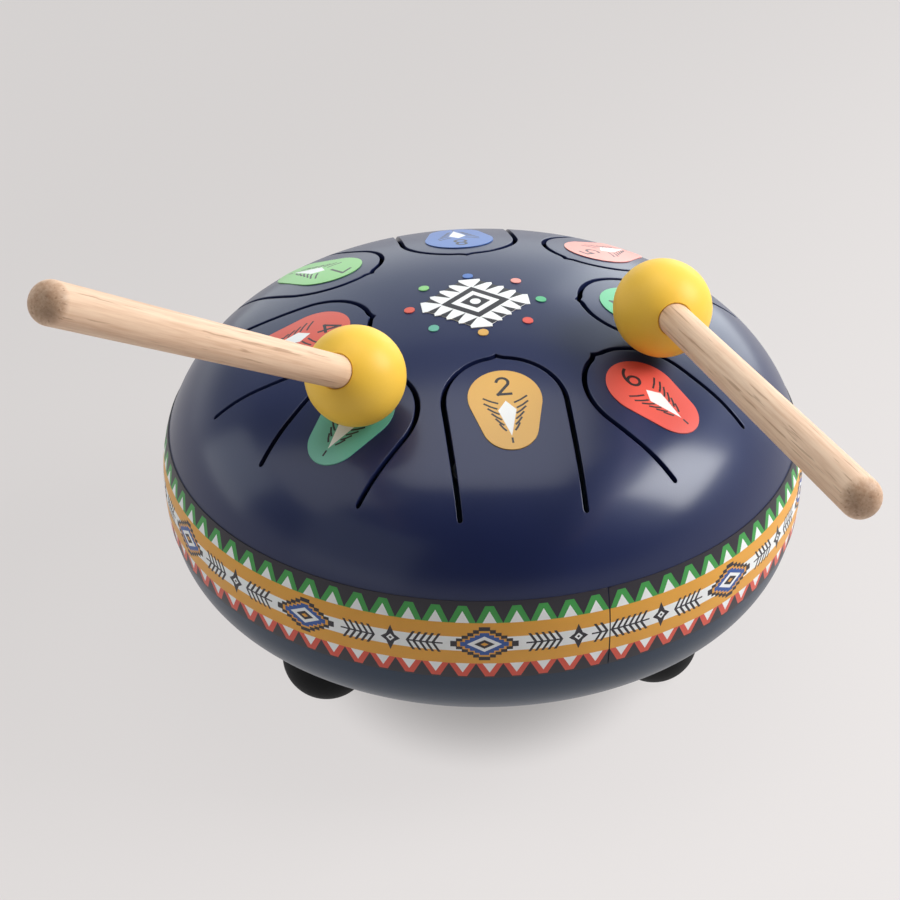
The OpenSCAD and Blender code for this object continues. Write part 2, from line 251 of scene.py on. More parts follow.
class FootSizes(bpy.types.PropertyGroup):
    turn: angle("Turn", "Angle by which the feet are turned from straight ahead", 3.9)
    inset: length("Inset", "Distance in from the rim to the middle of a foot", 32.9)
    radius: length("Radius", "Radius of a foot", 10.8)
    skirt: length("Skirt", "Height of the straight skirt of a foot", 6)
    ridge: length("Ridge", "How far the moulding ridge stands out", 0.12)


class MalletSizes(bpy.types.PropertyGroup):
    head_r: length("Head", "Radius of a mallet's head", 11.5)
    neck_r: length("Neck", "Radius of the handle at the head", 3.8)
    end_r: length("End", "Radius of the handle at its far end", 4.3)
    end_round: length("End rounding", "Rounding of the far end of the handle", 3.4)
    total_l: length("Length", "From the middle of the head to the far end of the handle", 140)
    socket_past: length("Socket", "Depth of the hole past the middle of the head", 3)
    strike_gap: length("Gap", "Height of the head above the film at rest", 0.3)
    left_inset: length("Left inset", "Distance in from the rim to the left struck point", 31.6)
    left_angle: angle("Left point", "Angle of the left struck point round the drum", -35.6)
    left_handle: angle("Left handle", "Angle of the left handle round the drum", -26.8)
    left_lift: angle("Left rise", "Angle at which the left handle rises", 34.4)
    right_inset: length("Right inset", "Distance in from the rim to the right struck point", 36.9)
    right_angle: angle("Right point", "Angle of the right struck point round the drum", 70.7)
    right_handle: angle("Right handle", "Angle of the right handle round the drum", 11.9)
    right_lift: angle("Right rise", "Angle at which the right handle rises", 14.2)


class Colours(bpy.types.PropertyGroup):
    shell: colour("Upper shell", "Satin paint of the upper shell", "#17204a")
    # The upper shell's paint, tinted greener and darker: a painted reflection of the grey floor, and painted
    # shade
    shell_lower_painted_reflection: colour("Lower shell", "Satin paint of the lower shell", "#0d2740")
    band_dark: colour("Band margin", "Dark ground of the band's borders", "#26222c")
    band_amber: colour("Band field", "Amber field of the band", "#e3a23a")
    band_green: colour("Upper border", "Triangles of the upper border", "#3c9a48")
    band_red: colour("Lower border", "Triangles of the lower border", "#d9513f")
    band_blue: colour("Band motif", "Blue of the band's motifs", "#2c559f")
    film_white: colour("White print", "White of the printed film", "#eef0f2")
    film_ink: colour("Dark print", "Ink of the numbers and strokes", "#25232c")
    head: colour("Mallet head", "Satin yellow of the mallet heads", "#f9c94a")
    beech: colour("Handle", "Pale tone of the beech", "#ebcdb2")
    beech_dark: colour("Grain", "Dark tone of the beech", "#bb8a69")
    rubber: colour("Feet", "Moulded rubber of the feet", "#1a1b1d")
    zinc: colour("Fixings", "Zinc plating of the studs, washers and nuts", "#b9bcc0")
    weld: colour("Weld", "Bare steel of the weld bead", "#7d7f84")
    floor: colour("Floor", "Pale floor of the studio", "#e3dfde")


def sizes():
    """The scene, which holds the groups of sizes and colours."""
    return bpy.context.scene


# Curves and outlines


class Outline:
    """Half a shell's outline in crown, shoulder and side arcs that meet in line.

    A point on it is given by its lean, the angle between its normal and the drum's axis.
    """

    def __init__(self, rim_z, up, rim_r, side_r, side_angle, shoulder_r, height):
        self.rim_z, self.up = rim_z, up
        side_x, step = rim_r - side_r, side_r - shoulder_r
        x = side_x + step * math.cos(side_angle)
        y = step * math.sin(side_angle)
        crown_r = (x * x + (height - y) ** 2 - shoulder_r**2) / (2 * (height - y - shoulder_r))
        self.arcs = np.array([(0, height - crown_r, crown_r), (x, y, shoulder_r), (side_x, 0, side_r)])
        self.crown_end = math.atan2(x, y - height + crown_r)
        self.side_start = SQUARE - side_angle

    def at(self, lean, grow=0.0):
        """Radius and height at a lean, on the outline grown square to itself."""
        lean = np.asarray(lean, float)
        own = (lean > self.crown_end).astype(int) + (lean > self.side_start)
        x, y, r = np.moveaxis(self.arcs[own], -1, 0)
        return x + (r + grow) * np.sin(lean), self.rim_z + self.up * (y + (r + grow) * np.cos(lean))

    def lean_at(self, radius, grow=0.0):
        """The lean on the crown or shoulder, at a radius from the drum's axis."""
        (_, _, crown_r), (x, _, shoulder_r), _ = self.arcs
        radius = np.asarray(radius, float)
        on_crown = np.arcsin(np.clip(radius / (crown_r + grow), 0, 1))
        on_shoulder = np.arcsin(np.clip((radius - x) / (shoulder_r + grow), -1, 1))
        return np.where(radius <= (crown_r + grow) * math.sin(self.crown_end), on_crown, on_shoulder)

    def lean_at_height(self, height, grow=0.0):
        """The lean near the rim, at a height from the rim along the drum's axis."""
        _, (_, y, r), (_, _, side_r) = self.arcs
        on_side = np.arccos(np.clip(height / (side_r + grow), -1, 1))
        on_shoulder = np.arccos(np.clip((height - y) / (r + grow), -1, 1))
        return np.where(on_side >= self.side_start, on_side, on_shoulder)

    def normal(self, lean, turn):
        lean, turn = np.broadcast_arrays(lean, turn)
        return np.stack(
            [np.sin(lean) * np.sin(turn), -np.sin(lean) * np.cos(turn), self.up * np.cos(lean)], axis=-1
        )

    def on_plan(self, plan, grow=0.0):
        """Points and normals of the shell over flat points seen from above."""
        radius = np.hypot(plan[:, 0], plan[:, 1])
        lean = self.lean_at(radius, grow)
        _, z = self.at(lean, grow)
        return np.column_stack([plan, z]), self.normal(lean, np.arctan2(plan[:, 0], -plan[:, 1]))


def rim_height():
    low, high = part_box("girth_band")
    return (low[2] + high[2]) / 2 + sizes().drum_film.band_drop


def dome():
    s = sizes().drum_shell
    return Outline(rim_height(), 1, s.rim_r, s.dome_shoulder_r, 0, s.dome_shoulder_r, s.dome_h)


def bowl():
    s = sizes().drum_shell
    return Outline(rim_height(), -1, s.rim_r, s.bowl_side_r, s.bowl_side_angle, s.bowl_shoulder_r, s.bowl_h)


def arc(x, y, r, start, end, count, ends=True):
    a = np.linspace(start, end, count)
    if not ends:
        a = a[1:-1]
    return np.column_stack([x + r * np.cos(a), y + r * np.sin(a)])


def turned(points, turn):
    """Flat points turned so that their X axis points outwards at an angle from straight ahead."""
    c, s = math.cos(turn - SQUARE), math.sin(turn - SQUARE)
    return points @ np.array([[c, s], [-s, c]])


def tongue_size(place):
    s, t = sizes().drum_shell, sizes().drum_tongues
    slot_end = s.rim_r - t.inset
    return slot_end, s.rim_r * t.length_share * TONGUE_LENGTH_SHARES[place], s.rim_r * t.width_share / 2


def tongue_turn(place):
    return sizes().drum_tongues.turn + place * FULL / TONGUES


def tongue_side(place, grow):
    """A tongue's outline from the end of one slot, round its tip and nib, to the end of the other."""
    t = sizes().drum_tongues
    slot_end, long, bow_r = tongue_size(place)
    reach = bow_r + t.nib_h
    bow = slot_end - long + reach
    nib_d = bow_r + t.nib_r - NIB_OVERLAP
    nib_a = math.acos((nib_d**2 + reach**2 - t.nib_r**2) / (2 * nib_d * reach))
    nib_x, nib_y, hollow_r = bow - nib_d * math.cos(nib_a), -nib_d * math.sin(nib_a), t.nib_r - grow
    along = np.linspace(slot_end, bow, 18)[:-1]
    straight = np.column_stack([along, np.full_like(along, -bow_r - grow)])
    bend = arc(bow, 0, bow_r + grow, -SQUARE, nib_a - math.pi, 20)
    hollow = arc(nib_x, nib_y, hollow_r, nib_a, math.asin(-nib_y / hollow_r), 6)[1:]
    half = np.concatenate([straight, bend, hollow])
    return np.concatenate([half, half[-2::-1] * [1, -1]])


def slot_loop(place, wider):
    """The closed outline of a tongue's slot, made wider all round, seen from above."""
    half = sizes().drum_tongues.slot_w / 2 + wider
    slot_end, _, bow_r = tongue_size(place)
    outer = tongue_side(place, half)
    inner = tongue_side(place, -half)[::-1]
    cap = arc(slot_end, bow_r, half, SQUARE, -SQUARE, 9, ends=False)
    other = arc(slot_end, -bow_r, half, SQUARE, -SQUARE, 9, ends=False)
    return turned(np.concatenate([outer, cap, inner, other]), tongue_turn(place))


def inside(points, loop):
    """Which flat points lie inside a closed loop."""
    x, y = points[:, 0, None], points[:, 1, None]
    ax, ay = loop[:, 0], loop[:, 1]
    bx, by = np.roll(ax, -1), np.roll(ay, -1)
    with np.errstate(divide="ignore", invalid="ignore"):
        cross = ((ay > y) != (by > y)) & (x < (bx - ax) * (y - ay) / (by - ay) + ax)
    return cross.sum(axis=1) % 2 == 1


def spread(radius, step, loops, clear):
    """Loose flat points over a disc, clear of the loops."""
    rings = []
    for k, r in enumerate(np.arange(0, radius, step)):
        count = max(1, round(FULL * r / step))
        start = k % 2 * 0.5 * FULL / count
        rings.append(arc(0, 0, r, start, FULL + start, count + 1)[:-1])
    points = np.concatenate(rings)
    edge = np.concatenate(loops)
    keep = np.array([np.hypot(*(edge - p).T).min() for p in points]) > clear
    for loop in loops:
        keep &= ~inside(points, loop)
    return points[keep]


def numbered(loops):
    """The point numbers of each loop, where the loops follow one another."""
    starts = np.cumsum([0, *map(len, loops)])
    return [list(range(a, b)) for a, b in zip(starts[:-1], starts[1:])]


def triangles(points, loops=(), shapes=()):
    """Delaunay triangles over flat points, with edges along the loops and shapes.

    Each loop or shape is a list of point numbers. Gives the points, where each input point went, the
    triangles, and for each triangle the last shape over it, or -1.
    """
    edges = [(loop[i - 1], loop[i]) for loop in loops for i in range(len(loop))]
    flat = [Vector(p) for p in np.asarray(points) / MM]
    out, _, faces, came_from, _, over = delaunay_2d_cdt(flat, edges, list(shapes), 0, 1e-5, True)
    went = np.full(len(flat), -1)
    for new, olds in enumerate(came_from):
        went[list(olds)] = new
    out = np.array([tuple(v) for v in out]) * MM
    tri = np.array([tuple(f) for f in faces])
    a, b, c = out[tri[:, 0]], out[tri[:, 1]], out[tri[:, 2]]
    back = (b - a)[:, 0] * (c - a)[:, 1] < (b - a)[:, 1] * (c - a)[:, 0]
    tri[back] = tri[back][:, ::-1]
    return out, went, tri, np.array([max(o, default=-1) for o in over])


class Skin:
    """Collects the points and patches of one piece.

    Each patch is smooth within itself and sharp against the next.
    """

    def __init__(self):
        self.points, self.patches, self.count = [], [], 0

    def add(self, points):
        """Adds points and gives their numbers."""
        points = np.asarray(points, float).reshape(-1, 3)
        self.points.append(points)
        self.count += len(points)
        return np.arange(self.count - len(points), self.count)

    def patch(self, faces, finish=0, normals=None):
        """normals, where given, holds a point's normal at that point's number."""
        self.patches.append((np.asarray(faces, int), finish, normals))

    def rows(self, rows, finish=0, normals=None):
        """Quads between closed rows of point numbers."""
        rows = [np.append(row, row[0]) for row in rows]
        quads = [np.column_stack([a[:-1], a[1:], b[1:], b[:-1]]) for a, b in zip(rows[:-1], rows[1:])]
        self.patch(np.concatenate(quads), finish, normals)

    def smooth(self, points, quads):
        """Normals at the points of a patch, from the faces round each."""
        p = points[quads]
        last = p[:, 3] if quads.shape[1] == 4 else p[:, 0]
        square = np.cross(p[:, 2] - p[:, 0], last - p[:, 1])
        normals = np.zeros_like(points)
        for k in range(quads.shape[1]):
            np.add.at(normals, quads[:, k], square)
        size = np.linalg.norm(normals, axis=1, keepdims=True)
        return normals / np.where(size > 0, size, 1)

    def sharpen(self, mesh, owners):
        """Makes the joins between patches sharp."""
        edge = np.zeros(len(mesh.loops), np.int32)
        mesh.loops.foreach_get("edge_index", edge)
        low, high = np.full(len(mesh.edges), len(self.patches)), np.full(len(mesh.edges), -1)
        np.minimum.at(low, edge, owners)
        np.maximum.at(high, edge, owners)
        sharp = mesh.attributes.new("sharp_edge", "BOOLEAN", "EDGE")
        sharp.data.foreach_set("value", low != high)

    def shape(self, name, finishes):
        """Makes the mesh and its object."""
        points = np.concatenate(self.points)
        faces, marks, loops, owners = [], [], [], []
        for owner, (quads, finish, normals) in enumerate(self.patches):
            if normals is None:
                normals = self.smooth(points, quads)
            kept = quads != np.roll(quads, 1, axis=1)
            faces.extend(quad[keep].tolist() for quad, keep in zip(quads, kept))
            marks.append(np.broadcast_to(finish, len(quads)))
            loops.append(normals[quads[kept]])
            owners.append(np.full(kept.sum(), owner))
        mesh = bpy.data.meshes.new(name)
        mesh.from_pydata(points.tolist(), [], faces)
        for finish in finishes:
            mesh.materials.append(finish)
        mesh.polygons.foreach_set("material_index", np.concatenate(marks).astype(np.int32))
        mesh.polygons.foreach_set("use_smooth", np.ones(len(faces), bool))
        mesh.update()
        self.sharpen(mesh, np.concatenate(owners))
        mesh.normals_split_custom_set(np.concatenate(loops).tolist())
        piece = bpy.data.objects.new(name, mesh)
        bpy.context.scene.collection.objects.link(piece)
        return piece

    def build(self, name, body, finishes, node, place=None):
        """Makes a piece that rides on a body in the stead of a CAD node."""
        piece = self.shape(name, finishes)
        if place is not None:
            piece.matrix_world = place
            bpy.context.view_layer.update()
        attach(piece, body)
        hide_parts(node)


def evenly(count):
    """Angles evenly round a full turn."""
    return np.arange(count) * FULL / count


def circle(r, z, count):
    """Points round the axis, from straight ahead."""
    turns = evenly(count)
    return np.column_stack([r * np.sin(turns), -r * np.cos(turns), np.full(count, z)])


def revolve(skin, profile, count):
    """Adds rings of points round the Z axis for a profile of radii and heights, and gives their numbers."""
    c, s = np.cos(evenly(count)), np.sin(evenly(count))
    rows = []
    for r, z in profile:
        if r > 0:
            rows.append(skin.add(np.column_stack([r * c, r * s, np.full(count, z)])))
        else:
            rows.append(np.repeat(skin.add([(0, 0, z)]), count))
    return rows


def rings(skin, line, leans, grow, known=()):
    """Joins rings of points on one face of a shell, in the order of their leans.

    The known rings come first and are there already. Gives the point numbers of every ring.
    """
    rows = list(known)
    rows += [skin.add(circle(*line.at(lean, grow), SHELL_POINTS)) for lean in leans[len(known) :]]
    way = 1 if grow == 0 else -1
    normals = np.zeros((skin.count, 3))
    for lean, row in zip(leans, rows):
        normals[row] = way * line.normal(lean, evenly(SHELL_POINTS))
    skin.rows(rows[::-way], normals=normals)
    return rows


# Finishes


class Wire:
    """A shader value that takes part in Python arithmetic."""

    def __init__(self, tree, socket):
        self.tree, self.socket = tree, socket

    def op(self, operation, a, b):
        return self.tree.node("ShaderNodeMath", {"operation": operation}, {0: a, 1: b})

    def __add__(self, other):
        return self.op("ADD", self, other)

    def __radd__(self, other):
        return self.op("ADD", other, self)

    def __sub__(self, other):
        return self.op("SUBTRACT", self, other)

    def __rsub__(self, other):
        return self.op("SUBTRACT", other, self)

    def __mul__(self, other):
        return self.op("MULTIPLY", self, other)

    def __rmul__(self, other):
        return self.op("MULTIPLY", other, self)

    def __truediv__(self, other):
        return self.op("DIVIDE", self, other)

    def between(self, low, high):
        """0 below low, 1 above high, and smooth from one to the other."""
        values = {"Value": self, "From Min": low, "From Max": high}
        return self.tree.node("ShaderNodeMapRange", {"interpolation_type": "SMOOTHSTEP"}, values)


class Tree:
    """The nodes of a material or of the world."""

    def __init__(self, owner):
        owner.use_nodes = True
        self.nodes, self.links = owner.node_tree.nodes, owner.node_tree.links
        self.nodes.clear()

    def put(self, socket, value):
        if isinstance(value, Wire):
            self.links.new(value.socket, socket)
        elif isinstance(value, tuple) and len(value) == 3 and socket.type == "RGBA":
            socket.default_value = (*value, 1)
        else:
            socket.default_value = value

    def node(self, kind, settings=None, values=None, output=0):
        """Makes a node with its settings and its values or links, and gives one of its outputs, if any."""
        node = self.nodes.new(kind)
        for name, value in (settings or {}).items():
            setattr(node, name, value)
        for name, value in (values or {}).items():
            self.put(node.inputs[name], value)
        return Wire(self, node.outputs[output]) if node.outputs else None

    def mix(self, factor, a, b):
        return self.node("ShaderNodeMix", {"data_type": "RGBA"}, {0: factor, 6: a, 7: b}, 2)

    def seen(self):
        """1 on the rays that see the backdrop, and 0 on the others."""
        return sum(self.node("ShaderNodeLightPath", output=name) for name in BACKDROP_RAYS)


class Finish(Tree):
    """One material with a Principled shader."""

    def __init__(self, name, **values):
        self.material = bpy.data.materials.new(name)
        super().__init__(self.material)
        self.shader = self.node("ShaderNodeBsdfPrincipled")
        self.set(**values)

    def done(self, surface=None):
        """Links the shader, or another surface, to the output, and gives the material."""
        self.node("ShaderNodeOutputMaterial", None, {"Surface": surface or self.shader})
        return self.material

    def set(self, **values):
        for name, value in values.items():
            self.put(self.shader.socket.node.inputs[name.replace("_", " ")], value)

    def place(self, scale=(1, 1, 1)):
        """The piece's own coordinates, stretched."""
        spot = self.node("ShaderNodeTexCoord", output="Object")
        return self.node("ShaderNodeVectorMath", {"operation": "MULTIPLY"}, {0: spot, 1: scale})

    def noise(self, scale, detail=2.0, stretch=(1, 1, 1), roughness=0.5):
        values = {"Vector": self.place(stretch), "Scale": scale, "Detail": detail, "Roughness": roughness}
        return self.node("ShaderNodeTexNoise", None, values)

    def bump(self, height, distance, strength):
        values = {"Height": height, "Distance": distance, "Strength": strength}
        self.set(Normal=self.node("ShaderNodeBump", None, values))


def shade(tint, factor):
    return tuple(min(1.0, t * factor) for t in tint)


def paint_finish(name, tint, coat):
    """Satin powder coat: fine orange peel, with a clear sheen over a slightly metallic tone."""
    tint = tuple(tint)
    f = Finish(
        name, Metallic=0.12, Coat_Weight=coat, Coat_Roughness=0.21, Coat_IOR=1.5, Specular_IOR_Level=0.3,
        Specular_Tint=(0.8, 0.9, 1.0),
    )
    cloud = f.noise(38, 3)
    grain = f.noise(5200, 2)
    f.set(Base_Color=f.mix(cloud * 0.5 + grain * 0.5, shade(tint, 0.8), shade(tint, 1.25)))
    f.set(Roughness=0.43 + cloud * 0.06 + grain * 0.05)
    f.bump(f.noise(2400, 2) + grain * 0.3, 0.014 * MM, 0.9)
    return f.done()


def film_finish(name, tint, gloss=0.1):
    """Printed vinyl: an even ink with a faint screen grain under a satin laminate."""
    tint = tuple(tint)
    f = Finish(name, Specular_IOR_Level=0.4, Coat_Weight=gloss, Coat_Roughness=0.3)
    grain = f.noise(6500, 1)
    soft = f.noise(120, 2)
    f.set(Base_Color=f.mix(grain * 0.6 + soft * 0.4, shade(tint, 0.9), shade(tint, 1.08)))
    f.set(Roughness=0.4 + soft * 0.08)
    f.bump(f.noise(1500, 2), 0.006 * MM, 0.5)
    return f.done()


def head_finish():
    """Moulded yellow rubber with a satin skin."""
    tint = tuple(sizes().drum_colours.head)
    f = Finish("head_rubber", Specular_IOR_Level=0.34)
    cloud = f.noise(60, 3)
    grain = f.noise(3000, 2)
    f.set(Base_Color=f.mix(cloud * 0.6 + grain * 0.4, shade(tint, 0.93), shade(tint, 1.05)))
    f.set(Roughness=0.44 + cloud * 0.08)
    f.bump(f.noise(700, 3) + grain * 0.4, 0.012 * MM, 0.6)
    return f.done()


def beech_finish():
    """Fine sanded beech: long soft grain, short dark flecks, and browner end grain."""
    c = sizes().drum_colours
    pale, dark = tuple(c.beech), tuple(c.beech_dark)
    f = Finish("handle_beech", Specular_IOR_Level=0.35)
    wander = f.noise(14, 2, (1, 1, 0.35))
    growth = f.noise(210, 3, (1, 0.55, 0.03)) * 0.7 + wander * 0.3
    fibre = f.noise(1500, 3, (1, 1, 0.03), 0.6)
    fleck = f.noise(1500, 2, (1, 1, 0.035)).between(0.6, 0.7)
    total_l = sizes().drum_mallets.total_l
    along = f.node("ShaderNodeSeparateXYZ", None, {0: f.place()}, "Z")
    end = along.between(total_l - 3.4 * MM, total_l - 0.6 * MM)
    tone = growth.between(0.35, 0.68) * 0.4 + fibre.between(0.3, 0.75) * 0.4
    wood = f.mix(tone, pale, dark)
    wood = f.mix(fleck * 0.5, wood, shade(dark, 0.6))
    f.set(Base_Color=f.mix(end * (0.2 + fibre * 0.35), wood, shade(dark, 0.62)))
    f.set(Roughness=0.5 + fibre * 0.12 - end * 0.1)
    f.bump(fibre * 0.6 + fleck * -0.5, 0.05 * MM, 0.5)
    return f.done()


def rubber_finish():
    """Black moulded rubber, a little cloudy."""
    tint = tuple(sizes().drum_colours.rubber)
    f = Finish("foot_rubber", Specular_IOR_Level=0.15)
    cloud = f.noise(90, 3)
    grain = f.noise(2600, 3)
    f.set(Base_Color=f.mix(cloud * 0.5 + grain * 0.5, shade(tint, 0.75), shade(tint, 1.4)))
    f.set(Roughness=0.55 + grain * 0.18)
    f.bump(grain, 0.03 * MM, 0.7)
    return f.done()


def metal_finish(name, tint, rough):
    """Bare or plated steel with fine marks along one way."""
    tint = tuple(tint)
    f = Finish(name, Metallic=1.0)
    cloud = f.noise(260, 3)
    scratch = f.noise(1800, 2, (1, 1, 0.15))
    f.set(Base_Color=f.mix(cloud, shade(tint, 0.72), shade(tint, 1.05)))
    f.set(Roughness=rough + scratch * 0.15)
    f.bump(scratch + cloud * 0.5, 0.01 * MM, 0.6)
    return f.done()


# Flat prints


def stroke(line, width, lengthen=0.5):
    """The outline of a pen stroke along a smooth line of flat points."""
    line = np.asarray(line, float)
    along = np.gradient(line, axis=0)
    along /= np.linalg.norm(along, axis=1, keepdims=True)
    line = line.copy()
    line[0] -= along[0] * width * lengthen
    line[-1] += along[-1] * width * lengthen
    side = np.column_stack([-along[:, 1], along[:, 0]]) * width / 2
    return np.concatenate([line + side, (line - side)[::-1]])


def degree_arc(x, y, r, start, end):
    return arc(x, y, r, math.radians(start), math.radians(end), 11)


def eye(y, r):
    """The closed round of a numeral, as two lines that overlap."""
    return [degree_arc(0, y, r, -4, 184), degree_arc(0, y, r, 176, 364)]


def numeral(note):
    """The pen lines of a plain numeral, one unit high and standing on zero."""
    return {
        1: [[(-0.2, 0.78), (0.05, 1)], [(0.05, 1), (0.05, 0)]],
        2: [degree_arc(0, 0.73, 0.27, 165, -42), [(0.2, 0.55), (-0.28, 0)], [(-0.28, 0), (0.3, 0)]],
        3: [degree_arc(-0.01, 0.76, 0.24, 150, -80), degree_arc(-0.02, 0.27, 0.27, 80, -150)],
        4: [[(0.14, 0), (0.14, 1)], [(0.14, 1), (-0.3, 0.3)], [(-0.3, 0.3), (0.32, 0.3)]],
        5: [[(0.26, 1), (-0.18, 1)], [(-0.18, 1), (-0.22, 0.58)], degree_arc(-0.01, 0.31, 0.31, 128, -140)],
        6: [degree_arc(0.44, 0.32, 0.72, 106, 178), *eye(0.29, 0.28)],
        7: [[(-0.28, 1), (0.3, 1)], [(0.3, 1), (-0.06, 0)]],
        8: [*eye(0.76, 0.23), *eye(0.27, 0.27)],
    }[note]


def oblong(left, low, right, high):
    return np.array([(left, low), (right, low), (right, high), (left, high)])


def lozenge(x, y, half_w, half_h):
    return np.array([(x - half_w, y), (x, y - half_h), (x + half_w, y), (x, y + half_h)])


def stepped(width, height, steps):
    """A diamond whose edges go down in steps."""
    corner = []
    for i in range(steps):
        across = width * (steps - i) / steps
        corner += [(across, height * i / steps), (across, height * (i + 1) / steps)]
    q = np.array(corner) / 2
    return np.concatenate([q, (q * [-1, 1])[::-1], q * [-1, -1], (q * [1, -1])[::-1]])


def leftward(loop):
    """A closed outline that runs anticlockwise."""
    x, y = loop.T
    return loop[:: 1 if (x * np.roll(y, -1) - np.roll(x, -1) * y).sum() > 0 else -1]


def print_film(node, base, shapes, loose, lift, finishes, thick):
    """Film with a printed top, in the stead of a CAD node.

    base is its outline, shapes are (finish number, flat outline) in the order they are printed, loose are
    flat points inside, and lift gives points and normals on the shell for flat points and a height.
    """
    outlines = [leftward(outline) for outline in (base, *[outline for _, outline in shapes])]
    points = np.concatenate([*outlines, loose])
    flat, _, tri, over = triangles(points, (), numbered(outlines))
    tri, over = tri[over >= 0], over[over >= 0]
    top, outward = lift(flat, thick)
    low, _ = lift(flat, 0.0)
    skin = Skin()
    up, down = skin.add(top), skin.add(low)
    normals = np.concatenate([outward, -outward])
    inks = np.array([0, *[ink for ink, _ in shapes]])
    skin.patch(up[tri], inks[over], normals)
    skin.patch(down[tri][:, ::-1], 0, normals)
    edges = np.concatenate([tri[:, [0, 1]], tri[:, [1, 2]], tri[:, [2, 0]]])
    _, first, times = np.unique(np.sort(edges, axis=1), axis=0, return_index=True, return_counts=True)
    a, b = edges[first[times == 1]].T
    skin.patch(np.column_stack([down[a], down[b], up[b], up[a]]))
    skin.build(f"{node}_print", "drum", finishes, node)


# Operators


class DRUM_OT_upper_shell(bpy.types.Operator):
    """Presses the upper shell and cuts its eight tongues, with rounded paint along every slot"""

    bl_idname = "drum.upper_shell"
    bl_label = "Upper shell"

    def execute(self, context):
        s = context.scene.drum_shell
        line = dome()
        skin = Skin()
        outer, painted = self.face(skin, line, s.edge_r, s.rim_r - PLAIN_OUTSIDE, 0.0)
        inner, cut = self.face(skin, line, 0.0, s.rim_r - PLAIN_INSIDE, -s.steel_t)
        for place in range(TONGUES):
            rows = [painted[place]]
            for bend in FINE_BENDS:
                at, _ = line.on_plan(slot_loop(place, s.edge_r * (1 - math.sin(bend))))
                at[:, 2] -= s.edge_r * (1 - math.cos(bend))
                rows.append(skin.add(at))
            skin.rows([*rows, cut[place]])
        outer_end = self.to_weld(skin, line, outer, s.rim_r - PLAIN_OUTSIDE, s.weld_w / 2, 0.0)
        inner_end = self.to_weld(skin, line, inner, s.rim_r - PLAIN_INSIDE, s.weld_root / 2, -s.steel_t)
        skin.rows([inner_end, outer_end])
        finish = paint_finish("shell_paint", context.scene.drum_colours.shell, 0.55)
        skin.build("upper_shell_dressed", "drum", [finish], "upper_shell")
        return {"FINISHED"}

    def face(self, skin, line, wider, edge, grow):
        """One face of the shell inside a ring, pierced by the slots.

        Gives the point numbers of the ring and of each slot.
        """
        rim = circle(edge, 0, SHELL_POINTS)[:, :2]
        loops = [slot_loop(place, wider) for place in range(TONGUES)]
        loose = spread(edge - 2 * LOOSE_CLEAR, LOOSE_STEP, loops, LOOSE_CLEAR)
        numbers = numbered([rim, *loops])
        flat, went, tri, _ = triangles(np.concatenate([rim, *loops, loose]), numbers)
        for loop in loops:
            tri = tri[~inside(flat[tri].mean(axis=1), loop)]
        way = 1 if grow == 0 else -1
        at, outward = line.on_plan(flat, grow)
        normals = np.concatenate([np.zeros((skin.count, 3)), way * outward])
        own = skin.add(at)
        skin.patch(own[tri][:, ::way], 0, normals)
        return own[went[numbers[0]]], [own[went[loop]] for loop in numbers[1:]]

    def to_weld(self, skin, line, edge, start, height, grow):
        """Plain rings from the pierced part to the weld. Gives the point numbers of the last."""
        ends = float(line.lean_at(start, grow)), float(line.lean_at_height(height, grow))
        return rings(skin, line, np.linspace(*ends, DOME_ROWS), grow, [edge])[-1]


class DRUM_OT_lower_shell(bpy.types.Operator):
    """Presses the lower shell with its rounded sound port, and finishes the weld between the shells"""

    bl_idname = "drum.lower_shell"
    bl_label = "Lower shell and weld"

    def execute(self, context):
        s, c = context.scene.drum_shell, context.scene.drum_colours
        line = bowl()
        skin = Skin()
        faces = []
        for grow, height in ((0.0, s.weld_w / 2), (-s.steel_t, s.weld_root / 2)):
            ends = float(line.lean_at_height(height, grow)), float(line.lean_at(s.port_r + s.edge_r, grow))
            faces.append(rings(skin, line, np.linspace(*ends, BOWL_ROWS), grow))
        outer, inner = faces
        lip = [outer[-1]]
        for grow, way in ((0.0, 1), (-s.steel_t, -1)):
            for bend in FINE_BENDS[::way]:
                r = s.port_r + s.edge_r * (1 - math.sin(bend))
                _, z = line.at(line.lean_at(r, grow), grow)
                lip.append(skin.add(circle(r, z + way * s.edge_r * (1 - math.cos(bend)), SHELL_POINTS)))
        skin.rows([inner[-1], *lip[::-1]])
        skin.rows([outer[0], inner[0]])
        # The same paint as the upper shell, in a greener, darker tint that paints in the floor's reflection
        # and shade
        finish = paint_finish("shell_paint_lower", c.shell_lower_painted_reflection, 0.4)
        skin.build("lower_shell_dressed", "drum", [finish], "lower_shell")
        paint_node("seam_weld", metal_finish("weld_steel", c.weld, 0.35))
        return {"FINISHED"}


